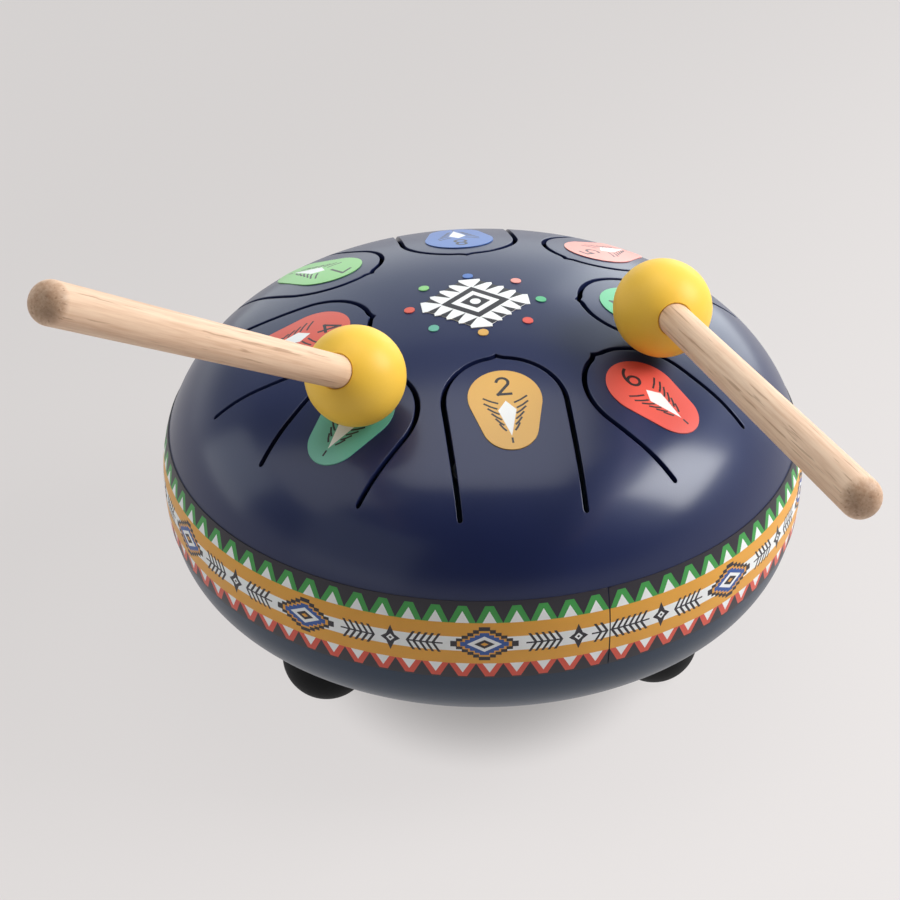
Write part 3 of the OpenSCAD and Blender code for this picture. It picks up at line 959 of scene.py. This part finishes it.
class DRUM_OT_band(bpy.types.Operator):
    """Wraps the printed band round the seam: toothed borders, an amber field and a row of motifs"""

    bl_idname = "drum.band"
    bl_label = "Band"

    def execute(self, context):
        s, f, c = context.scene.drum_shell, context.scene.drum_film, context.scene.drum_colours
        start, end = f.joint_gap / 2, s.rim_r * FULL - f.joint_gap / 2
        top, bottom = f.band_w / 2 - f.band_drop, -f.band_w / 2 - f.band_drop
        high, low = top - UPPER_BORDER, bottom + LOWER_BORDER
        middle = (high + low) / 2
        shapes = [
            (AMBER, oblong(start, low, end, high)),
            (WHITE, oblong(start, middle - STRIPE_HALF, end, middle + STRIPE_HALF)),
        ]
        shapes += self.teeth(start, (end - start) / f.teeth, low, high)
        shapes += self.motifs(start, middle, end)
        columns = np.arange(start + 0.5 * FILM_STEP, end - 0.45 * FILM_STEP, FILM_STEP)
        loose = np.array([(x, y) for x in columns for y in np.linspace(bottom, top, 9)[1:-1]])
        along = [start, *columns, end]
        base = np.array([(x, bottom) for x in along] + [(x, top) for x in along[::-1]])
        names = ("band_dark", "band_amber", "band_green", "band_red", "band_blue")
        finishes = [film_finish(name, getattr(c, name)) for name in names]
        finishes.append(film_finish("band_white", c.film_white))
        print_film("girth_band", base, shapes, loose, self.lift, finishes, f.band_t)
        return {"FINISHED"}

    def lift(self, flat, thick):
        """Wraps flat points round the seam, where X runs round the rim and Y is the height over it."""
        s, f = sizes().drum_shell, sizes().drum_film
        grow = f.glue_t + thick
        turn = f.joint_angle + flat[:, 0] / s.rim_r
        points, normals = np.zeros((2, len(flat), 3))
        for line, own in ((dome(), flat[:, 1] >= 0), (bowl(), flat[:, 1] < 0)):
            lean = line.lean_at_height(np.abs(flat[own, 1]), grow)
            r, z = line.at(lean, grow)
            points[own] = np.column_stack([r * np.sin(turn[own]), -r * np.cos(turn[own]), z])
            normals[own] = line.normal(lean, turn[own])
        return points, normals

    def teeth(self, start, pitch, low, high):
        """The triangles of both borders, each with a white one inside."""
        made = []
        for k in range(sizes().drum_film.teeth):
            x, half_w = start + (k + 0.5) * pitch, TOOTH_W * pitch
            for ink, foot, tall in ((GREEN, high, UPPER_TOOTH), (RED, low, -LOWER_TOOTH)):
                made.append((ink, self.tooth(x, foot, half_w, TOOTH_TIP * pitch, tall)))
                made.append((WHITE, self.tooth(x, foot, INNER_W * half_w, INNER_TIP, INNER_H * tall)))
        return made

    def tooth(self, x, low, half_w, half_tip, tall):
        high = low + tall
        return np.array([(x - half_w, low), (x + half_w, low), (x + half_tip, high), (x - half_tip, high)])

    def motifs(self, start, y, end):
        """The row along the middle: medallions, with a star between each two and barbs beside them."""
        rim_r = sizes().drum_shell.rim_r
        half = MEDALLION_PITCH / 2 * rim_r
        medallions = [(FIRST_MEDALLION + MEDALLION_PITCH * k) * rim_r for k in range(MEDALLIONS)]
        stars = [x - half for x in medallions] + [medallions[-1] + half]
        made = []
        for x in medallions:
            made += self.medallion(x, y)
            for way in (-1, 1):
                made += self.barbs(x + way * MEDALLION_CLEAR, y, way, half - MEDALLION_CLEAR - STAR_CLEAR)
        for x in stars:
            made += self.star(x, y)
        for x, way, free in ((stars[0], -1, stars[0] - start), (stars[-1], 1, end - stars[-1])):
            made += self.barbs(x + way * END_CLEAR, y, way, free - END_CLEAR - END_ROOM)
        return made

    def medallion(self, x, y):
        """Nested stepped diamonds with three plain ones inside."""
        made = []
        for ink, w, h, steps in ((DARK, 15.2, 9.0, 6), (AMBER, 12.2, 7.0, 5), (BLUE, 10.8, 6.0, 5)):
            made.append((ink, stepped(w * MM, h * MM, steps) + (x, y)))
        for ink, w, h in ((WHITE, 3.9, 2.1), (DARK, 2.3, 1.2), (AMBER, 0.9, 0.5)):
            made.append((ink, lozenge(x, y, w * MM, h * MM)))
        return made

    def barbs(self, x, y, way, run):
        """A shaft with a row of chevrons that point away from where it starts."""
        made = [(DARK, oblong(x, y - SHAFT_HALF, x + way * run, y + SHAFT_HALF))]
        for k in np.arange(0.4 * MM, run - 1.3 * MM, CHEVRON_PITCH):
            made.append((DARK, CHEVRON * (way, 1) + (x + way * k, y)))
        return made

    def star(self, x, y):
        """A small four-pointed figure between the rows of chevrons."""
        half = np.array([(STAR_W, 0), (STAR_WAIST, STAR_WAIST), (0, STAR_H), (-STAR_WAIST, STAR_WAIST)])
        return [
            (DARK, np.concatenate([half, -half]) + (x, y)),
            (WHITE, lozenge(x, y, 0.95 * MM, 0.95 * MM)),
            (DARK, lozenge(x, y, 0.4 * MM, 0.4 * MM)),
        ]


class DRUM_OT_labels(bpy.types.Operator):
    """Lays a numbered label on each tongue, and the stepped motif and dots on the crown"""

    bl_idname = "drum.labels"
    bl_label = "Labels and crown print"

    def execute(self, context):
        f, c = context.scene.drum_film, context.scene.drum_colours
        ink, white = film_finish("label_ink", c.film_ink, 0.3), film_finish("label_white", c.film_white, 0.3)
        slot_end, longest, bow_r = tongue_size(LONGEST)
        lead = bow_r * f.label_w_share
        tail = lead * f.label_end_share
        run = longest * f.label_l_share - lead - tail
        flare = math.asin((lead - tail) / run)
        egg = np.concatenate([
            arc(0, 0, lead, SQUARE - flare, 3 * SQUARE + flare, 40),
            arc(run, 0, tail, flare - SQUARE, SQUARE - flare, 26),
        ])
        along, across = np.arange(-lead, run + tail, FILM_STEP), np.arange(-lead, lead, FILM_STEP)
        grid = np.array([(x, y) for x in along for y in across])
        grid = grid[inside(grid, egg * 0.95)]
        coats = []
        for place, note in enumerate(TONGUE_NOTES):
            _, long, _ = tongue_size(place)
            start = slot_end - long + f.label_inset + lead
            coats.append(film_finish(f"label_{note}", linear(LABEL_COLOURS[place]), 0.45))
            print_film(
                f"note_label_{note}", egg, self.leaf() + self.number(note), grid,
                self.lift_at(tongue_turn(place), (start, 0), (0, 0)), [coats[-1], ink, white], f.label_t,
            )
        self.crown(slot_end - longest, [white, ink], coats)
        return {"FINISHED"}

    def lift_at(self, turn, shift, centre):
        """A lift that moves flat points outwards, turns them round the axis and sets them on the dome."""
        line, glue_t = dome(), sizes().drum_film.glue_t

        def lift(flat, thick):
            return line.on_plan(turned(flat + shift, turn) + centre, glue_t + thick)

        return lift

    def crown(self, free, finishes, coats):
        """The stepped motif, and an oval of dots in the colours of the labels."""
        f = sizes().drum_film
        lift = self.lift_at(tongue_turn(0) + SQUARE, (0, 0), (f.print_off_x, f.print_off_y))
        w, h = 2 * free * f.motif_w_share, 2 * free * f.motif_h_share
        shapes = self.notches(w, h, f.motif_steps)
        for ink, part in ((INK, 0.32), (GROUND, 0.225), (INK, 0.14)):
            shapes.append((ink, lozenge(0, 0, w * part, h * part)))
        shapes.append((GROUND, arc(0, 0, EYE_R, 0, FULL, 25)[:-1]))
        base = stepped(w, h, f.motif_steps)
        print_film("centre_motif", base, shapes, np.zeros((0, 2)), lift, finishes, f.label_t)
        skin = Skin()
        for place in range(TONGUES):
            around = place * FULL / TONGUES - SQUARE
            x, y = free * f.dot_ring_w_share * math.cos(around), free * f.dot_ring_h_share * math.sin(around)
            loop = arc(x, y, free * f.dot_share / 2, 0, FULL, DOT_POINTS + 1)[:-1]
            middle = loop.mean(axis=0, keepdims=True)
            up, down = skin.add(lift(loop, f.label_t)[0]), skin.add(lift(loop, 0.0)[0])
            hub = np.repeat(skin.add(lift(middle, f.label_t)[0]), DOT_POINTS)
            under = np.repeat(skin.add(lift(middle, 0.0)[0]), DOT_POINTS)
            skin.patch(np.column_stack([up, np.roll(up, -1), hub]), place)
            skin.patch(np.column_stack([np.roll(down, -1), down, under]), place)
            skin.rows([down, up], place)
        skin.build("centre_dots_print", "drum", coats, "centre_dots")

    def notches(self, w, h, steps):
        """Dark notches that part the steps of the motif into teeth."""
        made = []
        step = np.array([w, h]) / steps / 2
        wedge = np.array([(NOTCH_OUT, 0), (0, NOTCH_OUT), (-NOTCH_IN, -NOTCH_IN)])
        for i in range(1, steps):
            notch = (wedge + (steps - i, i)) * step
            made += [(INK, notch * (across, along)) for across in (-1, 1) for along in (-1, 1)]
        return made

    def number(self, note):
        """A number that reads with its top to the middle of the drum."""
        made = []
        for line in numeral(note):
            outline = stroke(np.asarray(line, float) * NUMBER_H, PEN)
            made.append((INK, np.column_stack([-outline[:, 1] - NUMBER_FOOT, outline[:, 0]])))
        return made

    def leaf(self):
        """A slim white leaf with dark strokes down both sides, and one past its tip."""
        made = [(PALE, np.array([(1.0, 0), (3.7, -2.1), (10.9, 0), (3.7, 2.1)]) * MM)]
        for k in range(6):
            x, reach = 1.6 + 1.55 * k, 2.9 - 0.36 * k
            near = 2.4 - 0.32 * (k - 1) if k else 2.0
            for way in (-1, 1):
                line = [(x, way * near), (x - 0.7, way * (near + reach / 2)), (x - 1.7, way * (near + reach))]
                made.append((INK, stroke(np.array(line) * MM, FINE_PEN)))
        made.append((INK, stroke(np.array([(11.6, 0), (12.6, 0)]) * MM, FINE_PEN)))
        return made


class DRUM_OT_feet(bpy.types.Operator):
    """Moulds the three rubber feet, and finishes their studs, washers and nuts"""

    bl_idname = "drum.feet"
    bl_label = "Feet and fixings"

    def execute(self, context):
        s, f = context.scene.drum_shell, context.scene.drum_feet
        line = bowl()
        crown_r = line.arcs[0][2]
        tilt = math.asin((s.rim_r - f.inset) / crown_r)
        rubber = rubber_finish()
        for i, name in enumerate(("foot_front_left", "foot_front_right", "foot_back")):
            turn = f.turn + (i - 0.5) * FULL / 3
            place = (
                Matrix.Translation((0, 0, line.rim_z - s.bowl_h + crown_r))
                @ Matrix.Rotation(turn - SQUARE, 4, "Z")
                @ Matrix.Rotation(-tilt, 4, "Y")
                @ Matrix.Translation((0, 0, -crown_r))
            )
            skin = Skin()
            rows = revolve(skin, self.profile(crown_r), FOOT_POINTS)
            # The foot is worn flat where it stands on the floor
            worn = np.array([place @ Vector(point) for point in np.concatenate(skin.points)])
            worn[:, 2] = np.maximum(worn[:, 2], 0.0)
            skin.points = [worn]
            skin.rows(rows[1:][::-1])
            skin.rows(rows[1::-1])
            skin.build(f"{name}_rubber", "drum", [rubber], name)
        zinc = metal_finish("zinc_steel", context.scene.drum_colours.zinc, 0.28)
        for node in ("foot_studs", "foot_washers", "foot_nuts"):
            paint_node(node, zinc)
        return {"FINISHED"}

    def profile(self, crown_r):
        """Radii and heights of a foot: hollow over its disc, seat, skirt, moulding ridge and dome."""
        f = sizes().drum_feet

        def seat(r):
            return crown_r - math.sqrt(crown_r**2 - r * r) - SEAT_GAP

        top = f.radius - FOOT_EDGE
        made = [(DISC_R, seat(DISC_R) - DISC_H), (DISC_R, seat(DISC_R)), (top, seat(top))]
        for bend in COARSE_BENDS:
            made.append((top + FOOT_EDGE * math.sin(bend), seat(top) - FOOT_EDGE * (1 - math.cos(bend))))
        made += [(f.radius, -f.skirt * part) for part in (0.2, 0.4, 0.6, 0.8, 0.93)]
        made += [(f.radius + f.ridge, -f.skirt - down) for down in (RIDGE_TOP, RIDGE_LOW)]
        for bend in np.radians(np.linspace(3.2, 90, 34)[:-1]):
            made.append((f.radius * math.cos(bend), -f.skirt - f.radius * math.sin(bend)))
        return [*made, (0.0, -f.skirt - f.radius)]


class DRUM_OT_mallets(bpy.types.Operator):
    """Turns the two mallets: bored yellow heads on tapered beech handles"""

    bl_idname = "drum.mallets"
    bl_label = "Mallets"

    def execute(self, context):
        yellow, beech = head_finish(), beech_finish()
        for mallet in ("mallet_left", "mallet_right"):
            place = self.place(mallet.split("_")[1])
            skin = Skin()
            profile, ball = self.head_profile()
            rows = revolve(skin, profile, HEAD_POINTS)
            skin.rows(rows[:ball])
            skin.rows(rows[ball - 1 : -1])
            skin.rows(rows[-2:])
            skin.build(f"{mallet}_ball", mallet, [yellow], f"{mallet}_head", place)
            skin = Skin()
            rows = revolve(skin, self.handle_profile(), HANDLE_POINTS)
            skin.rows(rows[:2])
            skin.rows(rows[1:])
            skin.build(f"{mallet}_stick", mallet, [beech], f"{mallet}_handle", place)
        return {"FINISHED"}

    def head_profile(self):
        """Radii and heights of a head from its far side, with how many of them lie on the ball."""
        m = sizes().drum_mallets
        bore = m.neck_r + BORE_PLAY
        mouth = math.asin((bore + BORE_MOUTH) / m.head_r)
        high = m.head_r * math.cos(mouth)
        made = [(0.0, -m.head_r)]
        for a in np.linspace(0, math.pi - mouth, 50)[1:]:
            made.append((m.head_r * math.sin(a), -m.head_r * math.cos(a)))
        ball = len(made)
        for bend in COARSE_BENDS:
            made.append((bore + BORE_MOUTH * (1 - math.sin(bend)), high - BORE_MOUTH * (1 - math.cos(bend))))
        made += [(bore, 0.0), (bore, -m.socket_past), (0.0, -m.socket_past)]
        return made, ball

    def handle_profile(self):
        """Radii and heights of a handle from its end in the head to its rounded far end."""
        m = sizes().drum_mallets
        r, foot = m.end_round, BORE_ROOM - m.socket_past
        made = [(0.0, foot), (m.neck_r, foot)]
        for part in np.linspace(0, 1, 24):
            made.append((
                m.neck_r + (m.end_r - m.neck_r) * part,
                m.head_r + (m.total_l - r - m.head_r) * part,
            ))
        for a in np.linspace(0, SQUARE, 14)[1:]:
            made.append((m.end_r - r + r * math.cos(a), m.total_l - r + r * math.sin(a)))
        return made + [((m.end_r - r) * part, m.total_l) for part in (0.66, 0.33, 0.0)]

    def place(self, side):
        """The place of a mallet whose head is at the origin and whose handle runs up Z."""
        s, f, m = sizes().drum_shell, sizes().drum_film, sizes().drum_mallets
        inset, around = getattr(m, f"{side}_inset"), getattr(m, f"{side}_angle")
        handle, lift = getattr(m, f"{side}_handle"), getattr(m, f"{side}_lift")
        line = dome()
        crown_r = line.arcs[0][2]
        lean = math.asin((s.rim_r - inset) / crown_r)
        high = crown_r + f.glue_t + f.label_t + m.strike_gap + m.head_r
        return (
            Matrix.Translation((0, 0, line.rim_z + s.dome_h - crown_r))
            @ Matrix.Rotation(around - SQUARE, 4, "Z")
            @ Matrix.Rotation(lean, 4, "Y")
            @ Matrix.Translation((0, 0, high))
            @ Matrix.Rotation(-lean, 4, "Y")
            @ Matrix.Rotation(SQUARE - around + handle, 4, "Z")
            @ Matrix.Rotation(SQUARE - lift, 4, "X")
        )


def paint_node(node, finish):
    """Gives a CAD node that keeps its shape a new finish."""
    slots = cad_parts[node].material_slots
    if not slots:
        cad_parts[node].data.materials.append(finish)
    for slot in slots:
        slot.material = finish


class DRUM_OT_stage(bpy.types.Operator):
    """Sets the pale floor, the soft lamps and the camera"""

    bl_idname = "drum.stage"
    bl_label = "Stage"

    def execute(self, context):
        context.scene.view_settings.view_transform = "Standard"
        skin = Skin()
        profile = [(0.0, 0.0), *[(r, 0.0) for r in np.linspace(0.1, 1, 12) ** 1.5 * FLOOR_R]]
        skin.rows(revolve(skin, profile, FLOOR_POINTS)[::-1])
        skin.shape("floor", [self.floor_finish()])
        for values in LAMPS:
            self.lamp(*values)
        context.scene.world = self.world()
        context.scene.camera = self.camera()
        return {"FINISHED"}

    def floor_finish(self):
        """Pale paper. The backdrop's rays see it lit and glowing, brighter towards the right and front as a
        painted light gradient, with a soft painted shadow where the drum stands.
        """
        tint = tuple(sizes().drum_colours.floor)
        f = Finish("floor", Base_Color=tint, Roughness=0.9, Specular_IOR_Level=0.0)
        plain = f.shader
        f.shader = f.node("ShaderNodeBsdfPrincipled")
        f.set(Base_Color=shade(tint, 0.1), Roughness=0.9, Specular_IOR_Level=0.0, Emission_Strength=0.92)
        across = f.node("ShaderNodeSeparateXYZ", None, {0: f.place()}, "X")
        deep = f.node("ShaderNodeSeparateXYZ", None, {0: f.place()}, "Y")
        # A painted light gradient: the backdrop's glow brightens towards the right and the front
        painted_light_slope = (across * 3.0 - deep * 2.1 + 0.6).between(-0.3, 1.3)
        # A soft painted shadow ahead of the drum, with a dark painted core under it
        ahead = (deep + SHADE_AHEAD) / SHADE_STRETCH
        soft = (1 - (across * across + ahead * ahead) / SHADE_R**2).between(0, 1)
        painted_shade_core = (1 - (across * across + deep * deep) / CORE_R**2).between(0, 1)
        # The painted light: the glow that the painted shadow leaves
        light = (1 - soft * 0.56) * (1 - painted_shade_core * 0.85)
        backdrop = f.mix(painted_light_slope, shade(tint, 0.83), shade(tint, 1.07))
        f.set(Emission_Color=f.mix(light, (0.0, 0.0, 0.0), backdrop))
        return f.done(f.node("ShaderNodeMixShader", None, {0: f.seen(), 1: plain, 2: f.shader}))

    def lamp(self, name, around, rise, away, size, power, tint):
        """A square soft box that faces the drum from an angle round it and a rise above level."""
        light = bpy.data.lights.new(name, "AREA")
        light.shape, light.size, light.energy, light.color = "SQUARE", size, power, tint
        lamp = bpy.data.objects.new(name, light)
        a, e = math.radians(around), math.radians(rise)
        ahead = Vector((math.sin(a) * math.cos(e), -math.cos(a) * math.cos(e), math.sin(e)))
        turn = ahead.to_track_quat("Z", "Y").to_matrix().to_4x4()
        lamp.matrix_world = Matrix.Translation(LAMP_AIM + ahead * away) @ turn
        lamp.visible_camera = False
        bpy.context.scene.collection.objects.link(lamp)

    def world(self):
        """A dim world. The rays of the backdrop see a pale one in low directions, where the floor ends."""
        world = bpy.data.worlds.new("studio")
        w = Tree(world)
        way = w.node("ShaderNodeTexCoord", output="Generated")
        rise = w.node("ShaderNodeSeparateXYZ", None, {0: way}, "Z")
        low = 1 - rise.between(0.05, 0.3)
        dim = w.node("ShaderNodeBackground", None, {"Color": (0.93, 0.96, 1.0), "Strength": 0.01})
        pale = w.node("ShaderNodeBackground", None, {"Color": (0.9, 0.88, 0.87), "Strength": 0.75})
        surface = w.node("ShaderNodeMixShader", None, {0: w.seen() * low, 1: dim, 2: pale})
        w.node("ShaderNodeOutputWorld", None, {"Surface": surface})
        return world

    def camera(self):
        lens = bpy.data.cameras.new("camera")
        lens.sensor_width = 36
        lens.lens = CAMERA_LENS
        lens.clip_start, lens.clip_end = 0.05, 20
        camera = bpy.data.objects.new("camera", lens)
        axes = Matrix((Vector(CAMERA_RIGHT), Vector(CAMERA_UP), -Vector(CAMERA_AHEAD)))
        camera.matrix_world = Matrix.Translation(CAMERA_AT) @ axes.transposed().to_4x4()
        bpy.context.scene.collection.objects.link(camera)
        return camera


class DRUM_PT_panel(bpy.types.Panel):
    """Every size and colour of the drum, and a button for each operator"""

    bl_idname = "DRUM_PT_panel"
    bl_label = "Steel tongue drum"
    bl_space_type = "VIEW_3D"
    bl_region_type = "UI"
    bl_category = "Drum"

    def draw(self, context):
        for name in SETTINGS:
            box = self.layout.box()
            group = getattr(context.scene, name)
            for prop in group.bl_rna.properties:
                if prop.identifier not in {"rna_type", "name"}:
                    box.prop(group, prop.identifier)
        for operator in OPERATORS:
            self.layout.operator(operator.bl_idname)


SETTINGS = {
    "drum_shell": ShellSizes,
    "drum_tongues": TongueSizes,
    "drum_film": FilmSizes,
    "drum_feet": FootSizes,
    "drum_mallets": MalletSizes,
    "drum_colours": Colours,
}
OPERATORS = (
    DRUM_OT_upper_shell,
    DRUM_OT_lower_shell,
    DRUM_OT_band,
    DRUM_OT_labels,
    DRUM_OT_feet,
    DRUM_OT_mallets,
    DRUM_OT_stage,
)


def register():
    for group in SETTINGS.values():
        bpy.utils.register_class(group)
    for name, group in SETTINGS.items():
        setattr(bpy.types.Scene, name, PointerProperty(type=group))
    for kind in (*OPERATORS, DRUM_PT_panel):
        bpy.utils.register_class(kind)


def unregister():
    for kind in (DRUM_PT_panel, *reversed(OPERATORS)):
        bpy.utils.unregister_class(kind)
    for name in SETTINGS:
        delattr(bpy.types.Scene, name)
    for group in reversed(SETTINGS.values()):
        bpy.utils.unregister_class(group)


def main():
    register()
    for operator in OPERATORS:
        group, name = operator.bl_idname.split(".")
        getattr(getattr(bpy.ops, group), name)()


if __name__ == "__main__":
    main()
